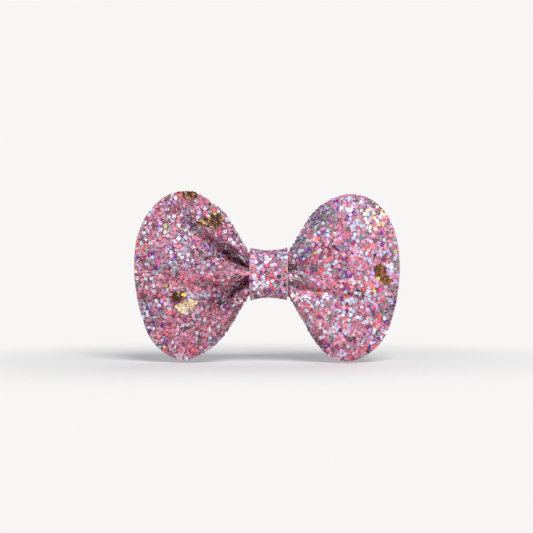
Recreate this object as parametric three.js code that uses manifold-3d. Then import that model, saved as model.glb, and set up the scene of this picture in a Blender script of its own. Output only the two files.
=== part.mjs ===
// A pinched hair bow of chunky-glitter canvas on a lined alligator clip.
//
// Millimetres. +X runs along the bow, +Z is up as the bow is worn and +Y points to the wearer's
// head. The origin lies in the clip's grip plane, behind the middle of the bow.
import * as THREE from "three";
import Module from "manifold-3d";
import { mergeVertices } from "three/addons/utils/BufferGeometryUtils.js";

const wasm = await Module();
wasm.setup();

// ---------------------------------------------------------------- driving dimensions
const FIT_GAP = 0.3; // between pieces that touch

const CANVAS = 1.0; // canvas and glitter coat together
const STEEP_CANVAS = 2.0; // most the canvas may measure front to back where it stands on edge

const PINCH_HALF = 4.7; // half height of the gathered middle
const PINCH_REACH = 5.35; // where the wings start to fan out
const FAN_SLOPE = 1.72; // how steeply the wings' edges leave the middle
const FAN_EASE = 0.8; // roundness of that start
const WING_REACH = 43; // from the middle to the wing tips
const WING_RISE = 27; // from the middle to the wings' tops
const ARCH = 2.6; // how far the wings' tops and bottoms lean back
const RIM_LEAN = 1.6; // how far the wing tips lean back
const PUFF = 0.8; // how much deeper the folds get just outside the band, where the canvas springs out
const PUFF_REACH = 5.5; // from the band's edge to where they are deepest

// The folds of each wing from its top edge to its bottom one. height is where the fold leaves the band,
// or null along the fan's edge; rise is its climb per millimetre outwards; forward is how far it stands
// in front of the neutral plane at the band, and fade the distance over which that dies out.
const LEFT_FOLDS = [
  { name: "top edge", height: null, rise: 0, forward: -0.6, fade: 30 },
  { name: "upper ridge", height: 4.6, rise: 0.92, forward: 3.2, fade: 32 },
  { name: "upper valley", height: 2.2, rise: 0.66, forward: -3.3, fade: 22 },
  { name: "middle ridge", height: 0.3, rise: 0.02, forward: 3.2, fade: 28 },
  { name: "lower valley", height: -2.6, rise: -0.8, forward: -3.3, fade: 30 },
  { name: "lower ridge", height: -4.8, rise: -1.2, forward: 2.4, fade: 34 },
  { name: "bottom edge", height: null, rise: 0, forward: -0.6, fade: 26 },
];
const RIGHT_FOLDS = [
  { name: "top edge", height: null, rise: 0, forward: -2.8, fade: 70 },
  { name: "upper ridge", height: 4.0, rise: 0.8, forward: 2.2, fade: 36 },
  { name: "upper valley", height: 1.7, rise: -0.2, forward: -2.4, fade: 9 },
  { name: "middle ridge", height: -0.9, rise: -0.2, forward: 1.2, fade: 26 },
  { name: "lower valley", height: -3.2, rise: -0.22, forward: -0.7, fade: 44 },
  { name: "lower ridge", height: -5.3, rise: -1.3, forward: 1.6, fade: 34 },
  { name: "bottom edge", height: null, rise: 0, forward: -2.4, fade: 30 },
];

const BAND_WIDTH = 12.3;
const BAND_INNER = { depth: 4.95, height: 6.2 }; // half sizes of the loop's inside at its middle
const BAND_FLARE = { depth: 0.25, height: 0.9 }; // growth towards its two edges
const BAND_ROUND = 3; // power of the loop's superellipse
const LAP_ANGLE = 12; // degrees each way that the ends overlap behind the bow
const LAP_LIFT = CANVAS + FIT_GAP;

const THREAD = 0.5; // diameter
const THREAD_TURNS = 7;
const THREAD_LOOP = { depth: 4.4, height: 5.65 };
const THREAD_SPACE = 0.1; // between two turns

const RIBBON = { thickness: 0.4, width: 10, tail: -21.5, inner: -6.5 };
const STEEL = 0.6; // stamped sheet of both jaws
const JAW_TIP = 22.3;
const JAW_TAIL = -22.5;
const BASE_HALF = 4.0; // half width of the base jaw
const BASE_TIP_HALF = 3.0;
const EAR_OUT = 4.6; // outer face of the base jaw's ears
const PIN = { x: -10, y: 2.2, radius: 0.8, head: 1.5 };
const EAR_REACH = 1.9; // radius of the ears round the pin
const ARCH_CLEAR = 4.8; // room under the spring jaw for hair
const BRIDGE_END = 4; // where the bridge starts down towards the tip
const TIP_START = 20; // where the spring jaw lies flat again
const TIP_RISE = 1.5; // height of the spring jaw there
const THUMB = { bend: -11.5, end: -24, rise: 3.3, half: 4.5 }; // tab that bends up from the bridge
const TEETH = { count: 6, start: 10.5, depth: 0.7, drop: 1.9, outer: 2.6 };
const PIN_HEAD = 0.6; // height of the pin's domed heads
const WIRE = 0.7;
const COIL = { radius: 1.55, turns: 3.5, pitch: 0.85, legEnd: -19, legShare: 0.12 };
const GLUE = 0.6;
const POOL = { radius: 2.9, stretch: 1.9, lip: 0.5 }; // glue between band and clip
const BEAD = { half: 4.6, radius: 0.42, back: 6.45, height: 3.8 }; // glue behind the band's lap

// The stack behind the bow, from the grip plane forwards.
const RIBBON_INNER_FACE = -FIT_GAP / 2;
const BASE_INNER_FACE = RIBBON_INNER_FACE - RIBBON.thickness - FIT_GAP;
const BASE_OUTER_FACE = BASE_INNER_FACE - STEEL;
const RIBBON_OUTER_FACE = BASE_OUTER_FACE - FIT_GAP - RIBBON.thickness;
const GLUE_FACE = RIBBON_OUTER_FACE - FIT_GAP - GLUE;
const BAND_BACK = GLUE_FACE - FIT_GAP;
const BOW_Y = BAND_BACK - (BAND_INNER.depth + CANVAS + LAP_LIFT); // neutral plane of the bow

// ---------------------------------------------------------------- materials
const glitter = new THREE.MeshStandardMaterial({ color: 0xc98aa6, roughness: 0.45, metalness: 0.2 });
const steel = new THREE.MeshStandardMaterial({ color: 0xc9ccd0, roughness: 0.25, metalness: 1.0 });
const springSteel = new THREE.MeshStandardMaterial({ color: 0xa9adb2, roughness: 0.3, metalness: 1.0 });
const ribbonCloth = new THREE.MeshStandardMaterial({ color: 0xf3dfe6, roughness: 0.85, metalness: 0.0 });
const threadCloth = new THREE.MeshStandardMaterial({ color: 0xe9e4e4, roughness: 0.9, metalness: 0.0 });
const hotGlue = new THREE.MeshStandardMaterial({ color: 0xefe9dc, roughness: 0.35, metalness: 0.0 });

// ---------------------------------------------------------------- helpers
const softRamp = (u, ease) => 0.5 * (u + Math.hypot(u, ease));
const radians = THREE.MathUtils.degToRad;

function named(name, geometry, material) {
  const mesh = new THREE.Mesh(geometry, material);
  mesh.name = name;
  return mesh;
}

// A closed solid between two surfaces over the same nu by nv grid, stitched along its four sides.
// top and under take u and v from 0 to 1 and return a Vector3.
function sheetSolid(nu, nv, top, under) {
  const points = [];
  for (const surface of [top, under]) {
    for (let i = 0; i <= nu; i++) {
      for (let j = 0; j <= nv; j++) points.push(...surface(i / nu, j / nv).toArray());
    }
  }
  const lower = (nu + 1) * (nv + 1);
  const at = (i, j) => i * (nv + 1) + j;
  const faces = [];
  const quad = (a, b, c, d) => faces.push(a, b, c, a, c, d);
  for (let i = 0; i < nu; i++) {
    for (let j = 0; j < nv; j++) {
      quad(at(i, j), at(i + 1, j), at(i + 1, j + 1), at(i, j + 1));
      quad(lower + at(i, j), lower + at(i, j + 1), lower + at(i + 1, j + 1), lower + at(i + 1, j));
    }
  }
  const edge = (a, b) => quad(b, a, lower + a, lower + b);
  for (let i = 0; i < nu; i++) {
    edge(at(i, 0), at(i + 1, 0));
    edge(at(i + 1, nv), at(i, nv));
  }
  for (let j = 0; j < nv; j++) {
    edge(at(0, j + 1), at(0, j));
    edge(at(nu, j), at(nu, j + 1));
  }
  const geometry = new THREE.BufferGeometry();
  geometry.setAttribute("position", new THREE.Float32BufferAttribute(points, 3));
  geometry.setIndex(faces);
  geometry.computeVertexNormals();
  return geometry;
}

function toSolid(geometry) {
  const bare = geometry.clone();
  bare.deleteAttribute("normal");
  bare.deleteAttribute("uv");
  const merged = mergeVertices(bare, 1e-4);
  return new wasm.Manifold(new wasm.Mesh({
    numProp: 3,
    vertProperties: merged.attributes.position.array,
    triVerts: new Uint32Array(merged.index.array),
  }));
}

function fromSolid(solid) {
  const mesh = solid.getMesh();
  const geometry = new THREE.BufferGeometry();
  geometry.setAttribute("position", new THREE.BufferAttribute(mesh.vertProperties, 3));
  geometry.setIndex(new THREE.BufferAttribute(mesh.triVerts, 1));
  geometry.computeVertexNormals();
  return geometry;
}

// A side-view outline (x, y) pushed through the thickness from z = low to z = high.
function sideCut(shape, low, high, curveSegments = 10) {
  const geometry = new THREE.ExtrudeGeometry(shape, {
    depth: high - low,
    bevelEnabled: false,
    curveSegments,
  });
  return geometry.translate(0, 0, low);
}

// A plan outline (x, z) pushed through from y = low to y = high.
function planCut(shape, low, high, curveSegments = 10) {
  const geometry = new THREE.ExtrudeGeometry(shape, {
    depth: high - low,
    bevelEnabled: false,
    curveSegments,
  });
  return geometry.rotateX(Math.PI / 2).translate(0, high, 0);
}

// ---------------------------------------------------------------- bow panel
// Half height of the fan of pleats at distance x from the middle.
const fanHalf = (x) => PINCH_HALF + FAN_SLOPE * softRamp(Math.abs(x) - PINCH_REACH, FAN_EASE);

// Height and forward offset of each fold at a distance from the middle.
function foldLines(folds, reach) {
  const bandHalf = BAND_WIDTH / 2;
  const beyond = Math.max(0, reach - bandHalf);
  const squeeze = fanHalf(Math.min(reach, bandHalf)) / fanHalf(bandHalf);
  const spring = beyond / PUFF_REACH;
  const puff = 1 + PUFF * spring * Math.exp(1 - spring);
  return folds.map(({ height, rise, forward, fade }, i) => ({
    z: height === null ? fanHalf(reach) * (i ? -1 : 1) : (height + rise * beyond) * squeeze,
    forward: forward * puff * Math.exp(-beyond / fade),
  }));
}

// How far one wing's folds bring the canvas forward at a place in the front view.
function foldRelief(folds, x, z) {
  const lines = foldLines(folds, Math.abs(x));
  const below = lines.findIndex((line) => line.z <= z);
  if (below === 0) return lines[0].forward;
  if (below < 0) return lines.at(-1).forward;
  const [from, to] = [lines[below - 1], lines[below]];
  const swing = 0.5 - 0.5 * Math.cos((Math.PI * (from.z - z)) / (from.z - to.z));
  return THREE.MathUtils.lerp(from.forward, to.forward, swing);
}

// Depth of the canvas's middle surface behind the bow's neutral plane. The two wings' folds blend
// into each other under the band.
function panelDepth(x, z) {
  const blend = THREE.MathUtils.clamp(x / BAND_WIDTH + 0.5, 0, 1);
  const relief = THREE.MathUtils.lerp(foldRelief(LEFT_FOLDS, x, z), foldRelief(RIGHT_FOLDS, x, z), blend);
  return ARCH * (z / WING_RISE) ** 2 + RIM_LEAN * (x / WING_REACH) ** 2 - relief;
}

// Canvas thickness measured front to back, more where the sheet stands on edge.
function panelThickness(x, z) {
  const d = 0.05;
  const slopeX = (panelDepth(x + d, z) - panelDepth(x - d, z)) / (2 * d);
  const slopeZ = (panelDepth(x, z + d) - panelDepth(x, z - d)) / (2 * d);
  return Math.min(STEEP_CANVAS, CANVAS * Math.sqrt(1 + slopeX ** 2 + slopeZ ** 2));
}

// Each wing's rim, from the end of its straight upper edge round to its lower one.
const rimCurve = (points) =>
  new THREE.CatmullRomCurve3(points.map(([x, z]) => new THREE.Vector3(x, 0, z)), false, "centripetal");
const WING_START = 12.7;
const LEFT_RIM = rimCurve([
  [-WING_START, fanHalf(WING_START)], [-15.4, 20.5], [-19.4, 23.7], [-26, 26.9], [-31.5, 26.1], [-36.2, 23.3],
  [-40.1, 18.4], [-42.7, 11.3], [-43.5, 3], [-42.9, -5.5], [-41.2, -13.5], [-38.5, -20.8], [-34.2, -25.6],
  [-27.3, -27.9], [-21.8, -25.9], [-16.6, -22.1], [-WING_START, -fanHalf(WING_START)],
]);
const RIGHT_RIM = rimCurve([
  [WING_START, fanHalf(WING_START)], [15.8, 20.9], [20.5, 24.3], [26, 25.8], [31.9, 24.9], [36.9, 21.2],
  [40.4, 15.2], [42.1, 8.3], [42.5, 1], [41.8, -6.8], [40.2, -14.3], [37.5, -20.8], [33.2, -25.5],
  [26.5, -28.3], [20.5, -27.2], [16, -22.9], [WING_START, -fanHalf(WING_START)],
]);

// Front view of the panel: u from the left rim to the right one, v from the top edge down.
function panelPlan(u, v) {
  const rim = (u < 0.5 ? LEFT_RIM : RIGHT_RIM).getPointAt(v);
  const reach = Math.abs(2 * u - 1);
  const x = rim.x * reach;
  const ray = 1 - 2 * v;
  const share = THREE.MathUtils.lerp(ray, rim.z / fanHalf(rim.x), reach ** 2);
  return { x, z: share * fanHalf(x) };
}

function panelSurface(side) {
  return (u, v) => {
    const { x, z } = panelPlan(u, v);
    return new THREE.Vector3(x, panelDepth(x, z) + (side * panelThickness(x, z)) / 2, z);
  };
}

function bowPanel() {
  return sheetSolid(34, 28, panelSurface(1), panelSurface(-1));
}

// ---------------------------------------------------------------- centre band
// A point on a superellipse round the X axis; angle 0 is straight back, 90 degrees is up.
function loopPoint(angle, depth, height, power, x) {
  const c = Math.cos(angle);
  const s = Math.sin(angle);
  return new THREE.Vector3(
    x,
    Math.sign(c) * depth * Math.abs(c) ** (2 / power),
    Math.sign(s) * height * Math.abs(s) ** (2 / power),
  );
}

// The strip wraps once round the pinch and its end laps over its start behind the bow.
function bandSurface(lift) {
  return (u, v) => {
    const turn = THREE.MathUtils.lerp(-LAP_ANGLE, 360 + LAP_ANGLE, u);
    const x = (v - 0.5) * BAND_WIDTH;
    const flare = (2 * v - 1) ** 2;
    const lap = LAP_LIFT * THREE.MathUtils.smoothstep(turn, 270, 345);
    const depth = BAND_INNER.depth + BAND_FLARE.depth * flare + lift + lap;
    const height = BAND_INNER.height + BAND_FLARE.height * flare + lift + lap;
    return loopPoint(radians(turn), depth, height, BAND_ROUND, x);
  };
}

function centerBand() {
  return sheetSolid(56, 6, bandSurface(CANVAS), bandSurface(0));
}

// ---------------------------------------------------------------- gathering thread
class ThreadWinding extends THREE.Curve {
  getPoint(t) {
    const turn = t * THREAD_TURNS;
    const pitch = THREAD + THREAD_SPACE;
    const x = (turn - THREAD_TURNS / 2) * pitch;
    return loopPoint(2 * Math.PI * turn, THREAD_LOOP.depth, THREAD_LOOP.height, BAND_ROUND, x);
  }
}

function wireAlong(curve, diameter, sides, steps) {
  const section = new THREE.Shape();
  for (let i = 0; i < sides; i++) {
    const angle = (2 * Math.PI * i) / sides;
    section[i ? "lineTo" : "moveTo"]((diameter / 2) * Math.cos(angle), (diameter / 2) * Math.sin(angle));
  }
  return new THREE.ExtrudeGeometry(section, { steps, bevelEnabled: false, extrudePath: curve });
}

// ---------------------------------------------------------------- hot glue
// A bead lying along X behind the lap's end.
function glueBead() {
  const { half, radius } = BEAD;
  const end = [[radius, half - 0.6], [radius * 0.7, half - 0.1], [0, half]];
  const start = end.map(([r, h]) => [r, -h]).reverse();
  const profile = [...start, ...end].map(([r, h]) => new THREE.Vector2(r, h));
  return new THREE.LatheGeometry(profile, 10).rotateZ(-Math.PI / 2);
}

// A flattened pool of glue between the band and the clip's ribbon, round-edged and wider along X.
function glueBed() {
  const { radius, stretch, lip } = POOL;
  const rim = Array.from({ length: 5 }, (_, i) => {
    const angle = (Math.PI * i) / 4;
    return new THREE.Vector2(radius - lip + lip * Math.sin(angle), (GLUE / 2) * (1 - Math.cos(angle)));
  });
  const profile = [new THREE.Vector2(0, 0), ...rim, new THREE.Vector2(0, GLUE)];
  return new THREE.LatheGeometry(profile, 24).scale(stretch, 1, 1);
}

// ---------------------------------------------------------------- alligator clip
// Plan outline (x, z) with the same half widths above and below; rounded at both ends.
function bladePlan(stations) {
  const shape = new THREE.Shape();
  const side = stations.map(([x, half]) => new THREE.Vector2(x, half));
  const far = side.slice().reverse().map((p) => new THREE.Vector2(p.x, -p.y));
  shape.setFromPoints([...side, ...far]);
  return shape;
}

// A strip of sheet steel bent along the polyline, thickness laid on its left side.
function bentStrip(line, thickness) {
  const inner = line.map(([x, y]) => new THREE.Vector2(x, y));
  const outer = inner.map((p, i) => {
    const before = inner[Math.max(0, i - 1)];
    const after = inner[Math.min(inner.length - 1, i + 1)];
    const along = after.clone().sub(before).normalize();
    return new THREE.Vector2(p.x - along.y * thickness, p.y + along.x * thickness);
  });
  const shape = new THREE.Shape();
  shape.setFromPoints([...inner, ...outer.reverse()]);
  return shape;
}

// Points on a circle round the pin, every 15 degrees from one angle to the other.
function roundPin(radius, from, to) {
  const steps = Math.round(Math.abs(to - from) / 15);
  return Array.from({ length: steps + 1 }, (_, i) => {
    const angle = radians(THREE.MathUtils.lerp(from, to, i / steps));
    return new THREE.Vector2(PIN.x + radius * Math.cos(angle), PIN.y + radius * Math.sin(angle));
  });
}

// An ear round the pin, growing from a plate at height y = root.
function earShape(root, reach) {
  const farSide = root < PIN.y ? 0 : 360;
  const ear = new THREE.Shape([
    new THREE.Vector2(PIN.x - reach, root),
    ...roundPin(reach, 180, farSide),
    new THREE.Vector2(PIN.x + reach, root),
  ]);
  ear.holes.push(new THREE.Path(roundPin(PIN.radius + FIT_GAP, 0, 345)));
  return ear;
}

function withEars(plate, root, reach, outerFace) {
  let solid = plate;
  for (const low of [-outerFace, outerFace - STEEL]) {
    solid = solid.add(toSolid(sideCut(earShape(root, reach), low, low + STEEL)));
  }
  return solid;
}

// The jaw glued to the bow: a flat plate with two ears for the pin.
function baseJaw() {
  const earHalf = EAR_REACH + FIT_GAP;
  const shoulder = 0.8;
  const plan = bladePlan([
    [JAW_TAIL, BASE_HALF - 1.8], [JAW_TAIL + 0.8, BASE_HALF - 0.7], [JAW_TAIL + 2.2, BASE_HALF],
    [PIN.x - earHalf - shoulder, BASE_HALF], [PIN.x - earHalf, EAR_OUT], [PIN.x + earHalf, EAR_OUT],
    [PIN.x + earHalf + shoulder, BASE_HALF], [JAW_TIP - 1.6, BASE_TIP_HALF],
    [JAW_TIP - 0.5, BASE_TIP_HALF - 0.6], [JAW_TIP, BASE_TIP_HALF - 1.6],
  ]);
  const plate = toSolid(planCut(plan, BASE_OUTER_FACE, BASE_INNER_FACE));
  return fromSolid(withEars(plate, BASE_INNER_FACE - STEEL / 2, EAR_REACH, EAR_OUT));
}

// A toothed flange along one edge of the spring jaw's tip.
function toothedFlange(low) {
  const pitch = (JAW_TIP - TEETH.start) / TEETH.count;
  const root = (x) => THREE.MathUtils.mapLinear(x, BRIDGE_END, TIP_START, ARCH_CLEAR, TIP_RISE) + STEEL / 2;
  const flange = new THREE.Shape();
  flange.moveTo(TEETH.start, root(TEETH.start));
  for (let i = 0; i < TEETH.count; i++) {
    const x = TEETH.start + i * pitch;
    const tip = Math.max(FIT_GAP / 2, root(x + pitch / 2) - TEETH.drop);
    flange.lineTo(x, tip + TEETH.depth);
    flange.lineTo(x + pitch / 2, tip);
  }
  flange.lineTo(JAW_TIP, FIT_GAP / 2 + TEETH.depth);
  flange.lineTo(JAW_TIP, root(TIP_START));
  flange.lineTo(TIP_START, root(TIP_START));
  flange.closePath();
  return toSolid(sideCut(flange, low, low + STEEL));
}

// The moving jaw: thumb tab, bridge over the hair and a toothed tip, stamped from one strip.
function springJaw() {
  const nose = JAW_TIP + FIT_GAP;
  const bend = bentStrip([
    [THUMB.end, ARCH_CLEAR + THUMB.rise], [THUMB.bend, ARCH_CLEAR], [BRIDGE_END, ARCH_CLEAR],
    [TIP_START, TIP_RISE], [nose, TIP_RISE - 0.15],
  ], STEEL);
  const inside = EAR_OUT - STEEL - FIT_GAP;
  const plan = bladePlan([
    [THUMB.end, THUMB.half - 1.9], [THUMB.end + 0.8, THUMB.half - 0.7], [THUMB.end + 2.5, THUMB.half],
    [THUMB.end + 7, THUMB.half], [PIN.x - THUMB.half, inside], [BRIDGE_END + 2, inside],
    [TIP_START - 2, TEETH.outer + 0.5], [nose - 1, TEETH.outer], [nose, TEETH.outer - 1],
  ]);
  const wide = 2 * THUMB.half;
  const strip = toSolid(sideCut(bend, -wide, wide));
  let jaw = strip.intersect(toSolid(planCut(plan, 0, ARCH_CLEAR + wide)));
  jaw = withEars(jaw, ARCH_CLEAR + STEEL / 2, EAR_REACH, inside);
  for (const low of [-TEETH.outer, TEETH.outer - STEEL]) jaw = jaw.add(toothedFlange(low));
  return fromSolid(jaw);
}

// Rivet through all four ears, with a domed head each side. Its axis is Z.
function hingePin() {
  const shank = EAR_OUT + FIT_GAP;
  const half = [
    [PIN.radius, 0], [PIN.radius, shank], [PIN.head, shank], [PIN.head * 0.85, shank + PIN_HEAD * 0.7],
    [PIN.head * 0.4, shank + PIN_HEAD], [0, shank + PIN_HEAD],
  ];
  const mirrored = half.slice(1).reverse().map(([r, h]) => [r, -h]);
  const profile = [...mirrored, ...half].map(([r, h]) => new THREE.Vector2(r, h));
  return new THREE.LatheGeometry(profile, 20).rotateX(Math.PI / 2);
}

// Torsion spring: a leg along the base jaw, the coil round the pin, a leg under the thumb tab.
class SpringPath extends THREE.Curve {
  getPoint(t) {
    const halfLength = (COIL.turns * COIL.pitch) / 2;
    const { legEnd, legShare } = COIL;
    const tabUnder = ARCH_CLEAR + (THUMB.rise * (legEnd - THUMB.bend)) / (THUMB.end - THUMB.bend);
    if (t < legShare) {
      const foot = new THREE.Vector3(legEnd, BASE_INNER_FACE + FIT_GAP + WIRE / 2, -halfLength);
      const coil = new THREE.Vector3(PIN.x, PIN.y - COIL.radius, -halfLength);
      return foot.lerp(coil, t / legShare);
    }
    if (t > 1 - legShare) {
      const coil = new THREE.Vector3(PIN.x, PIN.y + COIL.radius, halfLength);
      const press = new THREE.Vector3(legEnd, tabUnder - 2 * FIT_GAP - WIRE / 2, halfLength);
      return coil.lerp(press, (t - 1 + legShare) / legShare);
    }
    const turned = ((t - legShare) / (1 - 2 * legShare)) * COIL.turns;
    const angle = 2 * Math.PI * turned - Math.PI / 2;
    return new THREE.Vector3(
      PIN.x + COIL.radius * Math.cos(angle),
      PIN.y + COIL.radius * Math.sin(angle),
      turned * COIL.pitch - halfLength,
    );
  }
}

// Grosgrain ribbon glued along the base jaw, folded round its tip.
function ribbonLining() {
  const middle = (RIBBON_OUTER_FACE + RIBBON_INNER_FACE) / 2;
  const outerRadius = (RIBBON_INNER_FACE - RIBBON_OUTER_FACE) / 2;
  const innerRadius = outerRadius - RIBBON.thickness;
  const fold = JAW_TIP - innerRadius + 1.5 * FIT_GAP;
  const strip = new THREE.Shape();
  strip.moveTo(RIBBON.tail, middle - outerRadius);
  strip.absarc(fold, middle, outerRadius, -Math.PI / 2, Math.PI / 2, false);
  strip.lineTo(RIBBON.inner, middle + outerRadius);
  strip.lineTo(RIBBON.inner, middle + innerRadius);
  strip.absarc(fold, middle, innerRadius, Math.PI / 2, -Math.PI / 2, true);
  strip.lineTo(RIBBON.tail, middle - innerRadius);
  strip.closePath();
  return sideCut(strip, -RIBBON.width / 2, RIBBON.width / 2);
}

// ---------------------------------------------------------------- assembly
const bow = new THREE.Group();
bow.position.y = BOW_Y;
const bead = named("band_glue_bead", glueBead(), hotGlue);
bead.position.set(0, BEAD.back, BEAD.height);
bow.add(
  named("bow_panel", bowPanel(), glitter),
  named("center_band", centerBand(), glitter),
  named("gathering_thread", wireAlong(new ThreadWinding(), THREAD, 6, THREAD_TURNS * 26), threadCloth),
  bead,
);

const bed = named("clip_glue_bed", glueBed(), hotGlue);
bed.position.y = GLUE_FACE;
const pin = named("hinge_pin", hingePin(), steel);
pin.position.set(PIN.x, PIN.y, 0);
const clip = new THREE.Group();
clip.add(
  bed,
  named("ribbon_lining", ribbonLining(), ribbonCloth),
  named("clip_base_jaw", baseJaw(), steel),
  named("clip_spring_jaw", springJaw(), steel),
  pin,
  named("torsion_spring", wireAlong(new SpringPath(), WIRE, 8, 90), springSteel),
);

const hairBow = new THREE.Group();
hairBow.add(bow, clip);
export default hairBow;
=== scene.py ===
"""Looks for a pinched glitter-canvas hair bow on a ribbon-lined alligator clip.

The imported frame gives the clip, the pin and every piece's place. This file builds the canvas with its
pleats, the loose flakes of glitter, the centre band, the grosgrain lining, the glue, the thread and
the spring, and finishes every surface. Lengths are metres; MM turns millimetres into them.
"""

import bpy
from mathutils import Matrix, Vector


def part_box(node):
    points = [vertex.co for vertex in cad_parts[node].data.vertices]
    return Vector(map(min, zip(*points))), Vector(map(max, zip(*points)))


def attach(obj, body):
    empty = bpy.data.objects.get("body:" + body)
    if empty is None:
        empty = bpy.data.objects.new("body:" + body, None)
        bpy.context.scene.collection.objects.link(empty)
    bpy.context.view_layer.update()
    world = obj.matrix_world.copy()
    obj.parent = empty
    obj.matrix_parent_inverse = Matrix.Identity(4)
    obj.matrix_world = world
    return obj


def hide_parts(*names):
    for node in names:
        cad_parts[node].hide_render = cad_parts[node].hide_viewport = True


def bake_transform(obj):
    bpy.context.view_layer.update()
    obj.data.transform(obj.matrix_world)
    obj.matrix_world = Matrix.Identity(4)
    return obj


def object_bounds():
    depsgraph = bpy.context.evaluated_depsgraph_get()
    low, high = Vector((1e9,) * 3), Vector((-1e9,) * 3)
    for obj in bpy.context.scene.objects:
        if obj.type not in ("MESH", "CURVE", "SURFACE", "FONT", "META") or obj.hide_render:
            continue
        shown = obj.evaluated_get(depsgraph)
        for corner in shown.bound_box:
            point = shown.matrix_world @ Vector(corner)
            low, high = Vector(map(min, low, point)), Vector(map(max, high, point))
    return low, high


bl_info = {
    "name": "Glitter Hair Bow",
    "version": (1, 0, 0),
    "blender": (4, 5, 0),
    "location": "3D View > Sidebar > Hair Bow",
    "description": "Builds a pinched glitter-canvas hair bow around its packed frame",
    "category": "Add Mesh",
}

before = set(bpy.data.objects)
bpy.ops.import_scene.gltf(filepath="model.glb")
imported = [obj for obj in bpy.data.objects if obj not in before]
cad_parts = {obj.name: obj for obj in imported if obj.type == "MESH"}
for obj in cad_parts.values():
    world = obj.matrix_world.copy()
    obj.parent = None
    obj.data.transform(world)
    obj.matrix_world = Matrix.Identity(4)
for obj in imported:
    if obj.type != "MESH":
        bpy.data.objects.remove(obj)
CAD_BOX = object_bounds()

import math

import bmesh
import bpy
import numpy as np
from bpy.props import FloatProperty, FloatVectorProperty, IntProperty, PointerProperty
from mathutils import Matrix, Vector, noise

MM = 0.001

# ---------------------------------------------------------------- sizes shared with the frame
PINCH_HALF = 4.7 * MM  # half height of the gathered middle
PINCH_REACH = 5.35 * MM  # where the wings start to fan out
FAN_SLOPE = 1.72  # how steeply the wings' edges leave the middle
FAN_EASE = 0.8 * MM  # roundness of that start
WING_REACH = 43 * MM
WING_RISE = 27 * MM
ARCH = 2.6 * MM  # how far the wings' tops and bottoms lean back
RIM_LEAN = 1.6 * MM  # how far the wing tips lean back
BAND_HALF = 6.15 * MM
BAND_INNER = (4.95 * MM, 6.2 * MM)  # half depth and half height of the loop's inside
BAND_FLARE = (0.25 * MM, 0.9 * MM)
BAND_ROUND = 3.0  # power of the loop's superellipse
LAP_ANGLE = 12.0  # degrees each way that the band's ends overlap behind the bow
LAP_LIFT = 1.3 * MM
LAP_START, LAP_SPAN = 270, 75  # degrees round the loop: where the outer end starts to rise, and over how many
STEEP_CANVAS = 2.0 * MM  # most the canvas may measure front to back where it stands on edge
RIM_ROLL = 1.1 * MM  # how far the wings' rims roll back
ROLL_START, ROLL_SPAN = 0.8, 0.2  # where the roll starts and how far it runs, as shares of the reach
CUT_SLANT = 0.35  # how far the scissors' cut leans, against the canvas's thickness

RIBBON_THICK = 0.4 * MM
RIBBON_END = -6.5 * MM  # where its inner run ends, just short of the pin
RIB_RELIEF = 0.045 * MM  # half height of its ribs
GLUE_SPREAD = 0.28 * MM  # how far the glue runs on into the gaps to the pieces that it joins
BLOB_FLAT = 0.42  # share of a blob's radius past which its sides are flat
CROWN = 0.42 * MM  # height of the spring jaw's crown
THUMB_RIBS, RIB_PITCH, RIB_DEPTH = 4, 1.7 * MM, 0.26 * MM
RIB_START = 1.9 * MM  # from the thumb tab's end
CROWN_CUTS = 0.45 * MM  # between the cuts that let the jaw's flat faces bend
WELD = 0.002 * MM  # corners of loose triangles closer than this are one
JAW_BEVEL = 0.07 * MM
COIL_RADIUS, COIL_TURNS = 1.55 * MM, 3.5
COIL_STEPS = 32  # in one turn
PANEL_GRID = (200, 120)
BAND_GRID = (260, 24)
SOFT_CREASE = math.radians(50)  # sharper edges than this stay sharp: canvas
ROUND_CREASE = math.radians(60)  # ribbon, glue and wire
METAL_CREASE = math.radians(35)

# ---------------------------------------------------------------- studio
LENS, SENSOR = 100, 36  # mm
VIEW_WIDTH = 171.9 * MM  # that the camera takes in at the bow
VIEW_OFFSET = (-0.65 * MM, 2.42 * MM)  # from the bow's middle to the view's, along X and Z
PAPER = (0.93, 0.92, 0.91)
ROOM = (0.29, 0.295, 0.315)  # soft light from all round
FLOOR_TONES = ((0.84, 0.835, 0.83), (0.88, 0.875, 0.87))
FLOOR_GAP = 0.6 * MM
# Name, place from the bow's middle, size, power in watts and colour.
LIGHTS = (
    ("key_light", (0.14, -0.54, 0.42), 0.3, 4.1, (1, 0.985, 0.97)),
    ("fill_light", (-0.45, -0.45, 0.12), 0.4, 0.7, (0.92, 0.95, 1)),
    ("back_light", (0.30, 0.50, 0.30), 0.7, 1.2, (1, 1, 1)),
    ("side_light", (-0.45, 0.35, 0.10), 0.6, 0.7, (1, 1, 1)),
)

BAND_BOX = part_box("center_band")
RIBBON_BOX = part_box("ribbon_lining")
PIN_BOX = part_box("hinge_pin")
PIN_AXIS = (PIN_BOX[0] + PIN_BOX[1]) / 2

# Each wing's outline from its straight upper edge round to the lower one, in millimetres.
WING_START = 12.7
LEFT_OUTLINE = [
    (-15.4, 20.5), (-19.4, 23.7), (-26, 26.9), (-31.5, 26.1), (-36.2, 23.3), (-40.1, 18.4), (-42.7, 11.3),
    (-43.5, 3), (-42.9, -5.5), (-41.2, -13.5), (-38.5, -20.8), (-34.2, -25.6), (-27.3, -27.9), (-21.8, -25.9),
    (-16.6, -22.1),
]
RIGHT_OUTLINE = [
    (15.8, 20.9), (20.5, 24.3), (26, 25.8), (31.9, 24.9), (36.9, 21.2), (40.4, 15.2), (42.1, 8.3), (42.5, 1),
    (41.8, -6.8), (40.2, -14.3), (37.5, -20.8), (33.2, -25.5), (26.5, -28.3), (20.5, -27.2), (16, -22.9),
]

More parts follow.
